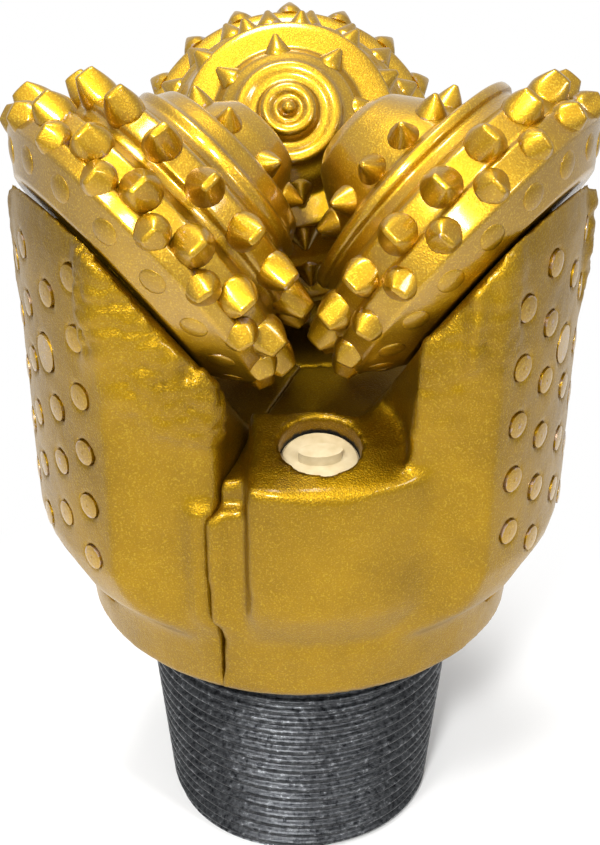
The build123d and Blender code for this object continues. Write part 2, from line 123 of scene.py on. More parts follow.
def latticeNoise(points, cell, seed):
    # smooth noise from -1 to 1: random values at the corners of cubes, blended inside each cube
    place = points / cell
    corner = np.floor(place)
    part = place - corner
    blend = part * part * (3 - 2 * part)
    total = np.zeros(len(points))
    for offset in np.ndindex(2, 2, 2):
        at = corner + np.array(offset)
        wave = np.sin(at @ np.array([127.1, 311.7, 74.7]) + seed * 53.3) * 43758.5453
        weight = np.prod(np.where(np.array(offset) == 1, blend, 1 - blend), axis=1)
        total += weight * (2 * (wave - np.floor(wave)) - 1)
    return total


def blobHeight(points, cell, seed):
    # rounded lumps from 0 to 1: height falls with distance from the nearest jittered centre
    place = points / cell
    corner = np.floor(place)
    nearest = np.full(len(points), 9.0)
    for offset in np.ndindex(3, 3, 3):
        at = corner + np.array(offset) - 1
        jitter = np.stack([np.sin(at @ np.array(key) + seed) * 9731.7 for key in
                           ((12.9, 78.2, 37.7), (93.9, 67.3, 11.1), (26.6, 36.4, 87.8))], axis=-1)
        centre = at + 0.15 + 0.7 * (jitter - np.floor(jitter))
        nearest = np.minimum(nearest, np.linalg.norm(place - centre, axis=1))
    return np.sqrt(np.clip(1 - (nearest / 0.85) ** 2, 0, 1))


def smoothStep(value, low, high):
    # 0 below low, 1 above high, and an even S between them
    part = np.clip((value - low) / (high - low), 0, 1)
    return part * part * (3 - 2 * part)


# material helpers

def newMaterial(name):
    material = bpy.data.materials.new(name)
    material.use_nodes = True
    return material, material.node_tree, material.node_tree.nodes["Principled BSDF"]


def addNode(tree, kind, **values):
    node = tree.nodes.new(kind)
    for key, value in values.items():
        setattr(node, key, value)
    return node


def objectVector(tree):
    return addNode(tree, "ShaderNodeTexCoord").outputs["Object"]


def blankGroup(name, inputs, outputs):
    group = bpy.data.node_groups.new(name, "ShaderNodeTree")
    for label, kind, value in inputs:
        socket = group.interface.new_socket(label, in_out="INPUT", socket_type=kind)
        if value is not None:
            socket.default_value = value
    for label, kind in outputs:
        group.interface.new_socket(label, in_out="OUTPUT", socket_type=kind)
    entry = group.nodes.new("NodeGroupInput")
    leave = group.nodes.new("NodeGroupOutput")
    return group, entry, leave


def placeGroup(tree, group, vector, **values):
    node = addNode(tree, "ShaderNodeGroup", node_tree=group)
    tree.links.new(vector, node.inputs["Vector"])
    for key, value in values.items():
        node.inputs[key].default_value = value
    return node


def rampNode(tree, source, low, high):
    # black below low, white above high
    ramp = addNode(tree, "ShaderNodeValToRGB")
    ramp.color_ramp.elements[0].position = low
    ramp.color_ramp.elements[1].position = high
    tree.links.new(source, ramp.inputs["Fac"])
    return ramp.outputs["Color"]


def noiseNode(tree, vector, detail, roughness=None, scale=None):
    noise = addNode(tree, "ShaderNodeTexNoise")
    noise.inputs["Detail"].default_value = detail
    if roughness is not None:
        noise.inputs["Roughness"].default_value = roughness
    if scale is not None:
        noise.inputs["Scale"].default_value = scale
    tree.links.new(vector, noise.inputs["Vector"])
    return noise


def addRelief(tree, shader, height, strength, distance):
    relief = addNode(tree, "ShaderNodeBump")
    relief.inputs["Strength"].default_value = strength
    relief.inputs["Distance"].default_value = distance
    tree.links.new(height, relief.inputs["Height"])
    tree.links.new(relief.outputs["Normal"], shader.inputs["Normal"])


sparkleSettings = dict(flakeDetail=2.0, flakeEdge=(0.52, 0.72), flakeLift=0.35, cloudDetail=5.0,
                       cloudRoughness=0.62)


def buildSparkle():
    # flakes in the paint: a fine speckle mask, a slow drift of tone and a height for the bump
    group, entry, leave = blankGroup(
        "paintSparkle",
        [("Vector", "NodeSocketVector", None), ("Flake Scale", "NodeSocketFloat", 1400.0),
         ("Cloud Scale", "NodeSocketFloat", 22.0)],
        [("Flakes", "NodeSocketFloat"), ("Clouds", "NodeSocketFloat"), ("Height", "NodeSocketFloat")])
    settings = sparkleSettings
    flake = noiseNode(group, entry.outputs["Vector"], settings["flakeDetail"])
    cloud = noiseNode(group, entry.outputs["Vector"], settings["cloudDetail"], settings["cloudRoughness"])
    group.links.new(entry.outputs["Flake Scale"], flake.inputs["Scale"])
    group.links.new(entry.outputs["Cloud Scale"], cloud.inputs["Scale"])
    mask = rampNode(group, flake.outputs["Fac"], *settings["flakeEdge"])
    mix = addNode(group, "ShaderNodeMath", operation="MULTIPLY_ADD")
    mix.inputs[1].default_value = settings["flakeLift"]
    group.links.new(flake.outputs["Fac"], mix.inputs[0])
    group.links.new(cloud.outputs["Fac"], mix.inputs[2])
    group.links.new(mask, leave.inputs["Flakes"])
    group.links.new(cloud.outputs["Fac"], leave.inputs["Clouds"])
    group.links.new(mix.outputs[0], leave.inputs["Height"])
    return group


wearSettings = dict(detail=7.0, roughness=0.68, edgeReach=0.16, sharpness=28.0)


def buildWear():
    # chips: sharp convex places and a patchy noise together show the metal under the paint
    group, entry, leave = blankGroup(
        "edgeChips",
        [("Vector", "NodeSocketVector", None), ("Scale", "NodeSocketFloat", 190.0),
         ("Edge Start", "NodeSocketFloat", 0.53), ("Edge Full", "NodeSocketFloat", 0.60),
         ("Patch Level", "NodeSocketFloat", 0.60)],
        [("Mask", "NodeSocketFloat")])
    noise = noiseNode(group, entry.outputs["Vector"], wearSettings["detail"], wearSettings["roughness"])
    group.links.new(entry.outputs["Scale"], noise.inputs["Scale"])
    geometry = addNode(group, "ShaderNodeNewGeometry")
    edge = addNode(group, "ShaderNodeMapRange")
    group.links.new(geometry.outputs["Pointiness"], edge.inputs["Value"])
    group.links.new(entry.outputs["Edge Start"], edge.inputs["From Min"])
    group.links.new(entry.outputs["Edge Full"], edge.inputs["From Max"])
    reach = addNode(group, "ShaderNodeMath", operation="MULTIPLY")
    reach.inputs[1].default_value = wearSettings["edgeReach"]
    group.links.new(edge.outputs["Result"], reach.inputs[0])
    total = addNode(group, "ShaderNodeMath", operation="ADD")
    group.links.new(noise.outputs["Fac"], total.inputs[0])
    group.links.new(reach.outputs[0], total.inputs[1])
    level = addNode(group, "ShaderNodeMath", operation="SUBTRACT")
    group.links.new(total.outputs[0], level.inputs[0])
    group.links.new(entry.outputs["Patch Level"], level.inputs[1])
    sharp = addNode(group, "ShaderNodeMath", operation="MULTIPLY", use_clamp=True)
    sharp.inputs[1].default_value = wearSettings["sharpness"]
    group.links.new(level.outputs[0], sharp.inputs[0])
    group.links.new(sharp.outputs[0], leave.inputs["Mask"])
    return group


sparkleGroup = buildSparkle()
wearGroup = buildWear()


def mixColours(tree, factor, first, second):
    mix = addNode(tree, "ShaderNodeMix", data_type="RGBA")
    tree.links.new(factor, mix.inputs["Factor"])
    for socket, value in ((mix.inputs[6], first), (mix.inputs[7], second)):
        if isinstance(value, tuple):
            socket.default_value = value
        else:
            tree.links.new(value, socket)
    return mix.outputs[2]


def rampValue(tree, source, low, high):
    # 0 to 1 becomes low to high
    spread = addNode(tree, "ShaderNodeMapRange")
    spread.inputs["To Min"].default_value = low
    spread.inputs["To Max"].default_value = high
    tree.links.new(source, spread.inputs["Value"])
    return spread.outputs["Result"]


goldSettings = dict(
    deep=(0.185, 0.100, 0.002, 1), mid=(0.31, 0.175, 0.003, 1), pale=(0.54, 0.38, 0.03, 1),
    bare=(0.36, 0.25, 0.17, 1), pin=(0.035, 0.038, 0.045, 1), bore=(0.030, 0.033, 0.038, 1),
    metallic=1.0, roughness=(0.36, 0.52), coatRoughness=0.13, edgeSpan=0.07,
    cloudSpread=(-0.5, 1.5), flakeShare=0.42, reliefDistance=0.0012,
)


def paintGold(name, patchLevel, bump, edgeStart=0.53, pinBelow=None, lift=1.0, coat=0.24):
    # lift makes the whole paint lighter, as painted light: the cones and inserts get a lighter copy of the
    # one gold paint because their upward faces are lit. Below pinBelow and in the nozzle bores the steel is
    # bare
    settings = goldSettings
    # painted light: lift scales deep, mid and pale into a lit copy of the same paint
    shades = {key: tuple(min(1, lift * part) for part in settings[key][:3]) + (1,)
              for key in ("deep", "mid", "pale")}
    material, tree, shader = newMaterial(name)
    vector = objectVector(tree)
    sparkle = placeGroup(tree, sparkleGroup, vector)
    chips = placeGroup(tree, wearGroup, vector, **{"Patch Level": patchLevel, "Edge Start": edgeStart,
                                                   "Edge Full": edgeStart + settings["edgeSpan"]})
    tone = mixColours(tree, rampValue(tree, sparkle.outputs["Clouds"], *settings["cloudSpread"]),
                      shades["deep"], shades["mid"])
    tone = mixColours(tree, rampValue(tree, sparkle.outputs["Flakes"], 0.0, settings["flakeShare"]),
                      tone, shades["pale"])
    tone = mixColours(tree, chips.outputs["Mask"], tone, settings["bare"])
    roughness = rampValue(tree, sparkle.outputs["Clouds"], *settings["roughness"])
    addRelief(tree, shader, sparkle.outputs["Height"], bump, settings["reliefDistance"])
    shader.inputs["Metallic"].default_value = settings["metallic"]
    shader.inputs["Coat Weight"].default_value = coat
    shader.inputs["Coat Roughness"].default_value = settings["coatRoughness"]
    if pinBelow is not None:  # the threaded end was masked off before painting
        split = addNode(tree, "ShaderNodeSeparateXYZ")
        tree.links.new(vector, split.inputs[0])
        below = addNode(tree, "ShaderNodeMath", operation="LESS_THAN")
        below.inputs[1].default_value = pinBelow
        tree.links.new(split.outputs["Z"], below.inputs[0])
        tone = mixColours(tree, below.outputs[0], tone, settings["pin"])
        bore = addNode(tree, "ShaderNodeAttribute", attribute_name="bareBore")
        tone = mixColours(tree, bore.outputs["Fac"], tone, settings["bore"])
    tree.links.new(tone, shader.inputs["Base Color"])
    tree.links.new(roughness, shader.inputs["Roughness"])
    return material


steelSettings = dict(
    detail=6.0, grain=0.7, spots=(0.38, 0.66), roughSpread=(-0.12, 0.14), chipLevel=0.62, chipScale=420.0,
    chipShine=2.1, relief=0.35, reliefDistance=0.0006, metallic=0.9,
)


def bareSteel(name, dark, light, roughness, scale):
    settings = steelSettings
    material, tree, shader = newMaterial(name)
    vector = objectVector(tree)
    noise = noiseNode(tree, vector, settings["detail"], settings["grain"], scale)
    chips = placeGroup(tree, wearGroup, vector, **{"Patch Level": settings["chipLevel"],
                                                   "Scale": settings["chipScale"]})
    tone = mixColours(tree, rampNode(tree, noise.outputs["Fac"], *settings["spots"]), dark, light)
    shine = tuple(min(1, settings["chipShine"] * part) for part in light[:3]) + (1,)
    tone = mixColours(tree, chips.outputs["Mask"], tone, shine)
    tree.links.new(tone, shader.inputs["Base Color"])
    smooth, coarse = settings["roughSpread"]
    tree.links.new(rampValue(tree, noise.outputs["Fac"], roughness + smooth, roughness + coarse),
                   shader.inputs["Roughness"])
    addRelief(tree, shader, noise.outputs["Fac"], settings["relief"], settings["reliefDistance"])
    shader.inputs["Metallic"].default_value = settings["metallic"]
    return material


plasticSettings = dict(scale=160.0, detail=5.0, spots=(0.35, 0.7), roughSpread=(-0.08, 0.1), relief=0.15,
                       reliefDistance=0.0005)


def mouldedPlastic(name, base, shade, roughness):
    settings = plasticSettings
    material, tree, shader = newMaterial(name)
    noise = noiseNode(tree, objectVector(tree), settings["detail"], scale=settings["scale"])
    tree.links.new(mixColours(tree, rampNode(tree, noise.outputs["Fac"], *settings["spots"]), base, shade),
                   shader.inputs["Base Color"])
    smooth, coarse = settings["roughSpread"]
    tree.links.new(rampValue(tree, noise.outputs["Fac"], roughness + smooth, roughness + coarse),
                   shader.inputs["Roughness"])
    addRelief(tree, shader, noise.outputs["Fac"], settings["relief"], settings["reliefDistance"])
    return material


forgedGold = paintGold("forgedGold", 0.775, 0.80, 0.56, 0.0002)
# coneGold and insertGold are the legs' gold paint made lighter by lift, painted light where light falls on
# the cones, with more coat
coneGold = paintGold("coneGold", 0.745, 0.40, lift=1.35, coat=0.75)
insertGold = paintGold("insertGold", 0.675, 0.25, 0.52, lift=1.3, coat=0.6)
threadSteel = bareSteel("threadSteel", (0.012, 0.013, 0.015, 1), (0.075, 0.078, 0.082, 1), 0.30, 420.0)
nozzleSteel = bareSteel("nozzleSteel", (0.03, 0.034, 0.042, 1), (0.12, 0.13, 0.14, 1), 0.45, 300.0)
bearingSteel = bareSteel("bearingSteel", (0.34, 0.34, 0.35, 1), (0.55, 0.55, 0.56, 1), 0.22, 500.0)
bearingBronze = bareSteel("bearingBronze", (0.36, 0.20, 0.07, 1), (0.55, 0.33, 0.13, 1), 0.35, 350.0)
sealRubber = mouldedPlastic("sealRubber", (0.018, 0.018, 0.018, 1), (0.035, 0.035, 0.036, 1), 0.62)
plugPlastic = mouldedPlastic("plugPlastic", (0.58, 0.49, 0.31, 1), (0.46, 0.37, 0.21, 1), 0.42)
print("materials ready")


# frames of the cones and legs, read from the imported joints

hingeReach = 0.095      # metres from the crossing of the axes out to each hinge


def coneFrame(number):
    joint = next(j for j in frame["joints"] if j["name"] == f"cone_{number}_spin")
    along = np.array(joint["axis"], float)
    azimuth = math.radians(legAzimuths[number])
    sideways = np.array([-math.sin(azimuth), math.cos(azimuth), 0])
    upward = np.cross(sideways, along)
    upward = upward if upward[2] > 0 else -upward
    centre = np.array(joint["pos_m"], float) - hingeReach * along
    # rows: local x upward, local y to the side, local z outward along the journal
    return centre, np.stack([upward, np.cross(along, upward), along])


coneFrames = {number: coneFrame(number) for number in legAzimuths}


def toWorld(points, number):
    centre, axes = coneFrames[number]
    return points @ axes + centre


def toCone(points, number):
    centre, axes = coneFrames[number]
    return (points - centre) @ axes.T


def turnAbout(points, degreesTurned):
    angle = math.radians(degreesTurned)
    turned = points.copy()
    turned[:, 0] = points[:, 0] * math.cos(angle) - points[:, 1] * math.sin(angle)
    turned[:, 1] = points[:, 0] * math.sin(angle) + points[:, 1] * math.cos(angle)
    return turned


# cone shells

shellSettings = dict(
    steps=224, walk=0.9, rounding=0.75,
    # seal lip and gland, bushing seat, ball race, thrust face and pilot bore
    bore=((110, 32), (109, 32), (109, 36.7), (103.5, 36.7), (103.5, 32.05), (79.8, 32.05), (79.8, 28),
          (79.15, 28), (78.37, 30.3), (76.1, 32.57), (73, 33.4), (69.9, 32.57), (67.63, 30.3), (66.85, 28),
          (63.7, 28), (63.7, 15.05), (47.5, 15.05), (47.5, 0)),
    outlines={
        1: ((20, 0), (20.5, 1.5), (21.5, 3), (24, 4), (24.5, 6), (23, 7.5), (22.3, 9.5), (23, 11.5),
            (25, 12.5), (28.5, 13.5), (28.5, 17), (27.3, 19), (27, 21.5), (28, 23.2), (31, 23.5),
            (32.5, 25), (35, 29.5), (42.3, 34), (43, 44), (43.8, 47.2), (47, 47), (48.5, 44.5), (50, 45.8),
            (59, 50.5), (68, 55), (70.5, 58.5), (83, 60.5), (84.8, 67), (86.5, 70.3), (98.8, 70),
            (110, 54.5)),
        2: ((22.5, 0), (23, 10), (25, 17), (32, 22.5), (40.2, 27), (40.6, 33), (42, 37), (49, 40.5),
            (50, 43.6), (53, 43.6), (54.5, 43), (58, 46), (60, 54), (61.5, 56), (71.5, 58.2), (73, 56),
            (77, 57), (79.5, 63), (81, 67.5), (89.5, 68.6), (90.8, 67), (92.5, 70.3), (98.8, 70),
            (110, 54.5)),
        3: ((25, 0), (26, 16), (30, 22), (40, 28.5), (45, 31.5), (56, 36.5), (57.6, 45), (59, 50), (60.2, 55),
            (63.8, 55.2), (65.5, 53), (70.8, 56.5), (72, 61), (73.5, 65.3), (85.5, 67.5), (87, 70.3),
            (98.8, 70), (110, 54.5)),
    },
)


def buildShell(number):
    settings = shellSettings
    outer = softenProfile(settings["outlines"][number], settings["walk"], settings["rounding"])
    inner = np.array(settings["bore"], float)
    profile = np.concatenate([outer, inner]) * millimetre
    profile[:, 1] = np.maximum(profile[:, 1], 1e-5)
    grid = spinProfile(profile, settings["steps"])
    points = toWorld(grid.reshape(-1, 3), number)
    faces = gridFaces(len(profile), settings["steps"])[:, ::-1]
    piece = meshFromArrays(f"coneShell{number}", points, faces, f"cone_{number}")
    piece.data.materials.append(coneGold)
    finishSkin(piece)
    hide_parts(f"cone_{number}_shell")


for number in legAzimuths:
    buildShell(number)
print("cone shells turned")


# inserts

insertSettings = dict(
    around=24,
    # name, shape, place along the axis, seat radius, lean, insert radius, height, count, first angle
    rows={
        1: (("heel", "dome", 104.4, 62.2, 54, 5.5, 0.9, 18, 10),
            ("gauge", "chisel", 92.5, 70, 20, 7.0, 6.4, 18, 0),
            ("outer", "cone", 76.5, 58.8, 0, 7.0, 8.0, 20, 9),
            ("middle", "cone", 54.2, 47.6, -17, 6.9, 8.6, 13, 6),
            ("nose", "cone", 40, 31.3, -15, 6.2, 8.2, 8, -9)),
        2: (("heel", "dome", 104.4, 62.2, 54, 5.5, 0.9, 16, 20),
            ("gauge", "chisel", 93.6, 70, 20, 6.9, 5.8, 16, 9),
            ("outer", "chisel", 85.6, 68, 2, 8.2, 9.0, 16, 20.25),
            ("middle", "wedge", 66.4, 57, -6, 7.6, 10.7, 16, 8),
            ("nose", "cone", 37.3, 25.2, -25, 5.8, 7.9, 7, 20)),
        3: (("heel", "dome", 104.4, 62.2, 54, 5.5, 0.9, 18, 14),
            ("gauge", "chisel", 92.5, 70, 20, 6.9, 6.2, 18, 4),
            ("outer", "chisel", 79, 66.2, -3, 8.1, 9.0, 18, 14),
            ("nose", "cone", 50.1, 33.4, -20, 6.4, 8.6, 12, 10)),
    },
    # how much of the radius is left at the crest, along the axis and across it
    crests=dict(chisel=(0.46, 0.13), wedge=(0.50, 0.18), cone=(0.15, 0.15), dome=(0.0, 0.0)),
    rise=(-0.35, 0.0, 0.08, 0.2, 0.34, 0.5, 0.66, 0.8, 0.9, 0.96),     # levels of the rings
    crown=((0.78, 0.985), (0.42, 1.0), (0.02, 1.0)),                   # share of the last ring, level
    taperAlong=1.3, taperAcross=1.02, domeCurve=1.6, squareness=1.4, buried=8, sharpAngle=62,
)


def insertShape(kind, radius, height):
    # rings rise from the seat. Each ring is a rounded oval whose two half widths shrink towards the crest:
    # half width = radius * (1 - (1 - crest share) * rise to a power), corners squarer as it rises
    settings = insertSettings
    crestAlong, crestAcross = settings["crests"][kind]
    angles = np.linspace(0, 2 * np.pi, settings["around"], endpoint=False)
    rise = np.array(settings["rise"])
    lift = np.clip(rise, 0, 1)[:, None]
    if kind == "dome":
        along = across = radius * np.sqrt(np.clip(1 - lift ** settings["domeCurve"], 0, 1))
    else:
        along = radius * (1 - (1 - crestAlong) * lift ** settings["taperAlong"])
        across = radius * (1 - (1 - crestAcross) * lift ** settings["taperAcross"])
    square = 2 + (settings["squareness"] if kind in ("chisel", "wedge") else 0.0) * lift
    cosine, sine = np.cos(angles)[None], np.sin(angles)[None]
    scale = (np.abs(cosine) ** square + np.abs(sine) ** square) ** (-1 / square)
    levels = height * np.where(rise > 0, rise, rise * settings["buried"] / max(height, 1))[:, None]
    ring = np.stack([along * scale * cosine, across * scale * sine, levels + 0 * angles], axis=-1)
    crown = [ring]
    for shrink, level in settings["crown"]:
        crown.append(np.stack([ring[-1, :, 0] * shrink, ring[-1, :, 1] * shrink,
                               np.full(len(angles), height * level)], axis=-1)[None])
    floor = ring[:1] * np.array([0.02, 0.02, 1.0])
    return np.concatenate([floor] + crown)


def buildRow(number, row):
    name, kind, place, seat, lean, radius, height, count, first = row
    shape = insertShape(kind, radius, height)
    rings, around = shape.shape[:2]
    tilt = math.radians(90 - lean)
    # stand the insert on the seat: local z turns from the cone axis to the seat's outward direction
    upright = np.array([[math.cos(tilt), 0, math.sin(tilt)], [0, 1, 0], [-math.sin(tilt), 0, math.cos(tilt)]])
    standing = shape.reshape(-1, 3) @ upright.T + np.array([seat, 0, place])
    turns = np.radians(first + 360 / count * np.arange(count))
    cosine, sine = np.cos(turns)[:, None], np.sin(turns)[:, None]
    spread = np.stack([standing[:, 0] * cosine - standing[:, 1] * sine,
                       standing[:, 0] * sine + standing[:, 1] * cosine,
                       np.repeat(standing[None, :, 2], count, axis=0)], axis=-1)
    points = toWorld(spread.reshape(-1, 3) * millimetre, number)
    faces = gridFaces(rings, around)
    every = (faces[None] + (np.arange(count) * rings * around)[:, None, None]).reshape(-1, 4)
    piece = meshFromArrays(f"cone{number}{name.capitalize()}Inserts", points, every, f"cone_{number}")
    piece.data.materials.append(insertGold)
    finishSkin(piece, insertSettings["sharpAngle"])
    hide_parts(f"cone_{number}_{name}_inserts")


for number, rows in insertSettings["rows"].items():
    for row in rows:
        buildRow(number, row)
print("inserts pressed in")


# legs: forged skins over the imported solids

legSettings = dict(
    voxel=1.55, smoothing=4, backFace=111.5, journalRadius=34.0, journalShare=0.985,
    flatDistance=94.0, armRadius=121.0,
    scaleHeight=0.30, scaleNoise=((19, 3, 1.0), (8, 7, 0.5), (3.5, 11, 0.25)),         # cell, seed, share
    hardfacedSides=((60, 1.0), (-60, 0.35)), patchWidth=38, patchFade=18, patchHeight=3.0,
    patchBlobs=((8.6, 1.7), (5.4, 4.1)), patchShare=0.75, patchSink=0.2, raggedEdge=(5, 14, 5),
    beadHeight=3.8, beadReach=(9, 18), beadStart=(150, 160), beadEnd=(114, 119), beadBlobs=(7.5, 9.2),
    nozzleAzimuth=-54.0, nozzleDistance=80.0, nozzleLean=15.0, boreFootRadius=73.19, boreFootHeight=89.06,
    boreEdge=(18.2, 19.6), boreSpan=(-60, 18.9), boreClear=20,
    seamFlat=-60.0, weldBeside=-34.0, weldHalfWidth=3.6, weldTop=94, weldRipple=3.4, weldBow=0.08,
    weldHeights=(0.25, 0.45), flatFade=(9, 4), patchHeights=(118, 128), beadShares=(0.1, 0.9),
    coreFade=(60, 80), bearingDepth=90, bearingRadius=60, boxGap=0.02,
)

# spans over which the pull of the smoothing fades, and shares that are held back
relaxSettings = dict(
    rounds=26, pull=0.5, pinFade=(6, 14), coreFade=(50, 70), bearingRadius=40, bearingFade=(112, 120),
    nozzleFade=(19, 27), nozzleAbove=70, backFade=(117, 119.5), backHold=0.9,
    rim=(30, 43), rimAbove=85, rimHold=0.6,
    weldOut=91, weldBeside=(-52, -14), weldHeights=(60, 102), weldHold=0.75,
)


def forgedCopy(nodes):
    # closed copy of the solids, fused and rebuilt as even small quads with corners relaxed
    mesh = bpy.data.meshes.new("roughForging")
    work = bmesh.new()
    for node in nodes:
        work.from_mesh(frame["nodes"][node].data)
    bmesh.ops.remove_doubles(work, verts=work.verts, dist=1e-6)
    work.to_mesh(mesh)
    work.free()
    rough = bpy.data.objects.new("roughForging", mesh)
    bpy.context.collection.objects.link(rough)
    remesh = rough.modifiers.new("evenSkin", "REMESH")
    remesh.mode = "VOXEL"
    remesh.voxel_size = legSettings["voxel"] * millimetre
    relax = rough.modifiers.new("relax", "SMOOTH")
    relax.factor = 0.5
    relax.iterations = legSettings["smoothing"]
    bpy.context.view_layer.update()
    graph = bpy.context.evaluated_depsgraph_get()
    finished = bpy.data.meshes.new_from_object(rough.evaluated_get(graph))
    bpy.data.objects.remove(rough)
    return finished


def readPoints(mesh):
    points = np.empty(len(mesh.vertices) * 3)
    mesh.vertices.foreach_get("co", points)
    return points.reshape(-1, 3)


def flatPlace(home, side):
    # how far out a point is along the direction of a flat, and how far it is beside its middle
    turn = math.radians(side)
    return (home[:, 0] * math.cos(turn) + home[:, 1] * math.sin(turn),
            -home[:, 0] * math.sin(turn) + home[:, 1] * math.cos(turn))


def relaxSkin(mesh, number):
    # each round moves every vertex towards the mean of its neighbours, by a weight that is full on the
    # open forged faces, a tenth on the back with its buttons and nothing at the bearing, nozzle and pin
    settings = relaxSettings
    points = readPoints(mesh) * metre
    edges = np.empty(len(mesh.edges) * 2, dtype=np.int64)
    mesh.edges.foreach_get("vertices", edges)
    edges = edges.reshape(-1, 2)
    home = turnAbout(points, -legAzimuths[number])
    cone = toCone(points * millimetre, number) * metre
    heights = points[:, 2]
    around = np.hypot(points[:, 0], points[:, 1])
    toNozzle = math.radians(legSettings["nozzleAzimuth"])
    fromNozzle = np.hypot(home[:, 0] - legSettings["nozzleDistance"] * math.cos(toNozzle),
                          home[:, 1] - legSettings["nozzleDistance"] * math.sin(toNozzle))
    weight = smoothStep(heights, *settings["pinFade"]) * smoothStep(around, *settings["coreFade"])
    weight *= np.where(np.hypot(cone[:, 0], cone[:, 1]) < settings["bearingRadius"],
                       smoothStep(cone[:, 2], *settings["bearingFade"]), 1)
    weight *= np.maximum(smoothStep(fromNozzle, *settings["nozzleFade"]), heights < settings["nozzleAbove"])
    weight *= 1 - settings["backHold"] * smoothStep(around, *settings["backFade"])
    # crisper at the rim of the spot face and on the weld strip
    inner, outer = settings["rim"]
    weight *= 1 - settings["rimHold"] * ((fromNozzle > inner) & (fromNozzle < outer)
                                         & (heights > settings["rimAbove"]))
    outFlat, besideSeam = flatPlace(home, legSettings["seamFlat"])
    left, right = settings["weldBeside"]
    low, high = settings["weldHeights"]
    weight *= 1 - settings["weldHold"] * ((outFlat > settings["weldOut"]) & (besideSeam > left)
                                          & (besideSeam < right) & (heights > low) & (heights < high))
    degree = np.maximum(np.bincount(edges.ravel(), minlength=len(points)), 1)[:, None]
    for _ in range(settings["rounds"]):
        total = np.stack([np.bincount(edges[:, 0], points[edges[:, 1], axis], len(points))
                          + np.bincount(edges[:, 1], points[edges[:, 0], axis], len(points))
                          for axis in range(3)], axis=-1)
        points = points + settings["pull"] * weight[:, None] * (total / degree - points)
    mesh.vertices.foreach_set("co", (points * millimetre).ravel())
    mesh.update()


def forgingHeight(points, home, axial):
    # millimetres that the skin stands proud: scale, ripples of the weld, lumps and bead of hardfacing
    settings = legSettings
    height = settings["scaleHeight"] * sum(share * latticeNoise(points, cell, seed)
                                           for cell, seed, share in settings["scaleNoise"])
    heights = points[:, 2]
    farOut, nearOut = settings["flatFade"]
    outFlat, besideSeam = flatPlace(home, settings["seamFlat"])
    onWeld = np.exp(-((besideSeam - settings["weldBeside"]) / settings["weldHalfWidth"]) ** 2) \
        * (outFlat > settings["flatDistance"] - nearOut) * (heights < settings["weldTop"])
    # the ripples are bowed like laid metal
    ripple = np.pi * heights / settings["weldRipple"] + settings["weldBow"] * besideSeam ** 2
    floor, crest = settings["weldHeights"]
    height += onWeld * (floor + crest * np.abs(np.sin(ripple)))
    # lumps on the flats beside the cone, thinning out to a ragged edge
    lumps = settings["patchShare"] * sum(blobHeight(points, cell, seed)
                                         for cell, seed in settings["patchBlobs"]) - settings["patchSink"]
    wander, wanderCell, wanderSeed = settings["raggedEdge"]
    ragged = axial + wander * latticeNoise(points, wanderCell, wanderSeed)
    start, end = settings["backFace"], settings["backFace"] + settings["patchWidth"]
    near = smoothStep(ragged, start - 4, start + 3) \
        * (1 - smoothStep(ragged, end - settings["patchFade"], end))
    for side, strength in settings["hardfacedSides"]:
        outward = flatPlace(home, side)[0]
        onFlat = smoothStep(outward, settings["flatDistance"] - farOut, settings["flatDistance"] - nearOut)
        patch = onFlat * near * smoothStep(heights, *settings["patchHeights"])
        height += strength * patch * settings["patchHeight"] * lumps
    # bead down the corner between the flat and the back
    corner = math.sqrt(settings["armRadius"] ** 2 - settings["flatDistance"] ** 2)
    fromCorner = np.hypot(outFlat - settings["flatDistance"], besideSeam - corner)
    bead = (1 - smoothStep(fromCorner, *settings["beadReach"])) \
        * smoothStep(heights, *settings["beadStart"]) \
        * (1 - smoothStep(np.hypot(points[:, 0], points[:, 1]), *settings["beadEnd"]))
    base, rest = settings["beadShares"]
    return height + bead * settings["beadHeight"] * (base + rest * blobHeight(points, *settings["beadBlobs"]))


def nozzleBore(home):
    # distance of each point from the leaning axis of the nozzle, and its place along that axis
    settings = legSettings
    lean = math.radians(settings["nozzleLean"])
    azimuth = math.radians(settings["nozzleAzimuth"])
    outward = np.array([math.cos(azimuth), math.sin(azimuth), 0])
    upward = np.array([0, 0, 1.0])
    axis = outward * math.sin(lean) + upward * math.cos(lean)
    fromFoot = home - outward * settings["boreFootRadius"] - upward * settings["boreFootHeight"]
    along = fromFoot @ axis
    return np.linalg.norm(fromFoot - along[:, None] * axis, axis=1), along


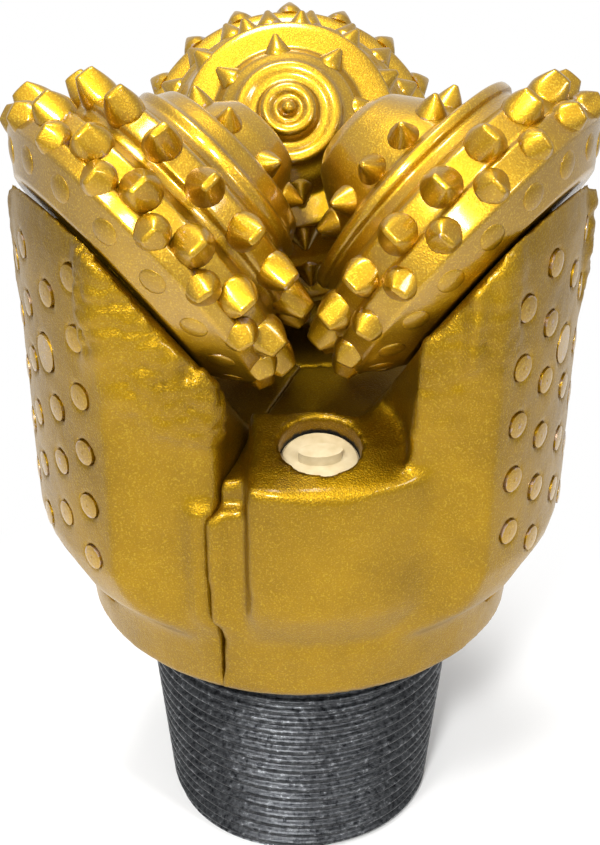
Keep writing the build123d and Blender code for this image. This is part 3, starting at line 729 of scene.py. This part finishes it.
def dressLeg(number):
    settings = legSettings
    mesh = forgedCopy((f"leg_{number}", f"seam_weld_{number}"))
    relaxSkin(mesh, number)
    points = readPoints(mesh) * metre
    normals = np.empty(len(mesh.vertices) * 3)
    mesh.vertex_normals.foreach_get("vector", normals)
    home = turnAbout(points, -legAzimuths[number])
    cone = toCone(points * millimetre, number) * metre
    axial = cone[:, 2]
    radial = np.hypot(cone[:, 0], cone[:, 1])
    outside = smoothStep(np.hypot(points[:, 0], points[:, 1]), *settings["coreFade"]) * (points[:, 2] > 1) \
        * (axial > settings["backFace"] - settings["bearingDepth"])
    skin = outside * np.where((radial < settings["bearingRadius"]) & (axial < settings["backFace"] + 2), 0, 1)
    fromAxis, alongBore = nozzleBore(home)
    lowEnd, highEnd = settings["boreSpan"]
    inBore = (1 - smoothStep(fromAxis, *settings["boreEdge"])) * (alongBore < highEnd) * (alongBore > lowEnd)
    attribute = mesh.attributes.new("bareBore", "FLOAT", "POINT")
    attribute.data.foreach_set("value", inBore.astype(np.float32))
    height = forgingHeight(points, home, axial) * skin * (fromAxis > settings["boreClear"])
    points = points + normals.reshape(-1, 3) * height[:, None]
    gap = settings["boxGap"]
    points = np.clip(points, np.array(cadBox[0]) * metre + gap, np.array(cadBox[1]) * metre - gap)
    # the journal is drawn a little thinner than its solid
    onJournal = (axial < settings["backFace"] - 0.6) & (radial < settings["journalRadius"])
    cone[:, :2] *= np.where(onJournal, settings["journalShare"], 1.0)[:, None]
    points = np.where(onJournal[:, None], toWorld(cone * millimetre, number) * metre, points)
    mesh.vertices.foreach_set("co", (points * millimetre).ravel())
    mesh.polygons.foreach_set("use_smooth", np.ones(len(mesh.polygons), dtype=bool))
    mesh.update()
    mesh.materials.clear()
    mesh.materials.append(forgedGold)
    mesh.name = f"forgedLeg{number}"
    piece = bpy.data.objects.new(f"forgedLeg{number}", mesh)
    bpy.context.collection.objects.link(piece)
    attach(piece, "bit_body")
    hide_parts(f"leg_{number}", f"seam_weld_{number}")
    return len(mesh.polygons)


for number in legAzimuths:
    print("leg", number, "dressed,", dressLeg(number), "faces")


# thread

threadSettings = dict(
    pitch=6.35, depth=3.1, baseRadius=76.05, plainBand=9.0, taper=1 / 12, around=200, perPitch=10,
    runout=(0.5, 9.0), groove=(1.15, 2.5), top=-0.3, noseCut=1.4, noseHeight=3.0, liner=70.5,
    hollow=58.0, sharpAngle=75,
)


def buildThread():
    # radius = taper cone of the crests minus depth * groove shape, where the groove shape is a rounded
    # V that repeats each pitch and shifts by one pitch per turn; depth fades to nothing at the upper end
    settings = threadSettings
    low = standHeight * metre
    top = settings["top"]
    count = int((top - low) / settings["pitch"] * settings["perPitch"])
    heights = np.linspace(low, top, count)[:, None]
    angles = np.linspace(0, 2 * np.pi, settings["around"], endpoint=False)[None]
    below = np.clip(-heights - settings["plainBand"], 0, None)
    crest = settings["baseRadius"] - settings["taper"] * below
    phase = (heights / settings["pitch"] + angles / (2 * np.pi)) % 1.0
    lift, slope = settings["groove"]
    groove = np.clip(lift - slope * np.abs(phase - 0.5), 0, 1)
    groove = groove * groove * (3 - 2 * groove)
    fade = smoothStep(below, *settings["runout"])
    nose = settings["noseCut"] * np.clip(1 - (heights - low) / settings["noseHeight"], 0, 1) ** 1.5
    radius = crest - settings["depth"] * groove * fade - nose
    grid = np.stack([radius * np.cos(angles), radius * np.sin(angles), heights + 0 * angles], axis=-1)
    inside = []
    hollow = settings["hollow"]
    for height, bore in ((top, settings["liner"]), (low + 0.2, hollow), (low, hollow)):
        inside.append(np.stack([bore * np.cos(angles[0]), bore * np.sin(angles[0]),
                                np.full(angles.shape[1], height)], axis=-1)[None])
    shell = np.concatenate([grid] + inside + [grid[:1]])
    faces = gridFaces(len(shell), settings["around"])
    piece = meshFromArrays("pinThread", shell * millimetre, faces, "bit_body")
    piece.data.materials.append(threadSteel)
    finishSkin(piece, settings["sharpAngle"])


buildThread()
print("thread cut")


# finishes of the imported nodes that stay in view

def dressNodes():
    # the first word found in a node's name gives its finish
    finishes = (("reservoir_snap", coneGold), ("ball_plug", coneGold), ("reservoir_cap", coneGold),
                ("gauge_buttons", insertGold),
                ("canister", bearingSteel), ("snap_rings", bearingSteel), ("diaphragm", sealRubber),
                ("o_rings", sealRubber), ("seal", sealRubber), ("plug", plugPlastic), ("balls", bearingSteel),
                ("bushing", bearingBronze), ("washer", bearingBronze), ("nozzle", nozzleSteel))
    for node, piece in frame["nodes"].items():
        finish = next((material for word, material in finishes if word in node), forgedGold)
        piece.data.materials.clear()
        piece.data.materials.append(finish)


dressNodes()
print("packed nodes dressed")


# camera, floor and light

viewSettings = dict(place=(0.0, -0.5566, 0.3835), lookDown=28.5, focalLength=58.0, sensorWidth=36.0)


def buildCamera():
    camera = bpy.data.cameras.new("studioCamera")
    camera.lens = viewSettings["focalLength"]
    camera.sensor_width = viewSettings["sensorWidth"]
    camera.clip_start = 0.01
    holder = bpy.data.objects.new("studioCamera", camera)
    holder.location = viewSettings["place"]
    holder.rotation_euler = (math.radians(90 - viewSettings["lookDown"]), 0, 0)
    bpy.context.collection.objects.link(holder)
    bpy.context.scene.camera = holder


floorSettings = dict(rings=12, around=64, reach=3.0, spread=1.4, gap=0.0002, fade=(0.10, 0.30),
                     colour=(0.95, 0.95, 0.945, 1), roughness=0.6)


def buildFloor():
    # a disc of rings that grow wider apart outwards, just under the foot of the pin
    settings = floorSettings
    rings = np.linspace(0, 1, settings["rings"])[:, None] ** settings["spread"] * settings["reach"]
    angles = np.linspace(0, 2 * np.pi, settings["around"], endpoint=False)[None]
    level = standHeight - settings["gap"] + 0 * rings * angles
    grid = np.stack([rings * np.cos(angles), rings * np.sin(angles), level], axis=-1)
    faces = gridFaces(settings["rings"], settings["around"])[:, ::-1]
    mesh = bpy.data.meshes.new("paleFloor")
    mesh.from_pydata(grid.reshape(-1, 3).tolist(), [], faces.tolist())
    floor = bpy.data.objects.new("paleFloor", mesh)
    bpy.context.collection.objects.link(floor)
    material, tree, shader = newMaterial("paleFloor")
    shader.inputs["Base Color"].default_value = settings["colour"]
    shader.inputs["Roughness"].default_value = settings["roughness"]
    # away from the object the floor fades into the white of the backdrop
    length = addNode(tree, "ShaderNodeVectorMath", operation="LENGTH")
    flatten = addNode(tree, "ShaderNodeVectorMath", operation="MULTIPLY")
    flatten.inputs[1].default_value = (1, 1, 0)
    tree.links.new(objectVector(tree), flatten.inputs[0])
    tree.links.new(flatten.outputs[0], length.inputs[0])
    fade = addNode(tree, "ShaderNodeMapRange", interpolation_type="SMOOTHSTEP")
    fade.inputs["From Min"].default_value, fade.inputs["From Max"].default_value = settings["fade"]
    tree.links.new(length.outputs["Value"], fade.inputs["Value"])
    path = addNode(tree, "ShaderNodeLightPath")
    seen = addNode(tree, "ShaderNodeMath", operation="MULTIPLY")
    tree.links.new(fade.outputs["Result"], seen.inputs[0])
    tree.links.new(path.outputs["Is Camera Ray"], seen.inputs[1])
    white = addNode(tree, "ShaderNodeEmission")
    white.inputs["Strength"].default_value = 1.0
    blend = addNode(tree, "ShaderNodeMixShader")
    tree.links.new(seen.outputs[0], blend.inputs[0])
    tree.links.new(shader.outputs[0], blend.inputs[1])
    tree.links.new(white.outputs[0], blend.inputs[2])
    tree.links.new(blend.outputs[0], tree.nodes["Material Output"].inputs["Surface"])
    mesh.materials.append(material)


worldSettings = dict(ambient=(0.42, 0.41, 0.40, 1), backdrop=(1, 1, 1, 1))


def buildWorld():
    # soft grey light for the object, plain white wherever the backdrop is seen or mirrored
    world = bpy.data.worlds.new("studio")
    bpy.context.scene.world = world
    world.use_nodes = True
    tree = world.node_tree
    background = tree.nodes["Background"]
    path = addNode(tree, "ShaderNodeLightPath")
    background.inputs["Color"].default_value = worldSettings["ambient"]
    white = addNode(tree, "ShaderNodeBackground")
    white.inputs["Color"].default_value = worldSettings["backdrop"]
    mix = addNode(tree, "ShaderNodeMixShader")
    plain = addNode(tree, "ShaderNodeMath", operation="MAXIMUM")
    mirrored = addNode(tree, "ShaderNodeMath", operation="MAXIMUM")
    tree.links.new(path.outputs["Is Glossy Ray"], mirrored.inputs[0])
    tree.links.new(path.outputs["Is Transmission Ray"], mirrored.inputs[1])
    tree.links.new(path.outputs["Is Camera Ray"], plain.inputs[0])
    tree.links.new(mirrored.outputs[0], plain.inputs[1])
    tree.links.new(plain.outputs[0], mix.inputs[0])
    tree.links.new(background.outputs[0], mix.inputs[1])
    tree.links.new(white.outputs[0], mix.inputs[2])
    tree.links.new(mix.outputs[0], tree.nodes["World Output"].inputs["Surface"])


def addLamp(name, place, aim, power, width, height):
    lamp = bpy.data.lights.new(name, "AREA")
    lamp.shape = "RECTANGLE"
    lamp.size = width
    lamp.size_y = height
    lamp.energy = power
    holder = bpy.data.objects.new(name, lamp)
    holder.location = place
    direction = Vector(aim) - Vector(place)
    holder.rotation_euler = direction.to_track_quat("-Z", "Y").to_euler()
    bpy.context.collection.objects.link(holder)


# place, aim, power, width and height of each lamp
lampSettings = dict(
    frontSoftbox=((-0.14, -0.80, 0.70), (0, 0, 0.13), 8.5, 0.13, 0.13),
    keySoftbox=((-0.45, -0.80, 1.05), (0, 0, 0.12), 6.5, 0.2, 0.2),
    rightSoftbox=((0.70, -0.75, 0.80), (0, 0, 0.12), 4.5, 0.16, 0.24),
    overhead=((-0.1, 0.0, 1.15), (0, 0, 0.15), 9, 0.3, 0.3),
)

buildCamera()
buildFloor()
buildWorld()
for name, values in lampSettings.items():
    addLamp(name, *values)
bpy.context.scene.view_settings.view_transform = "Standard"
print("camera, floor and light placed")
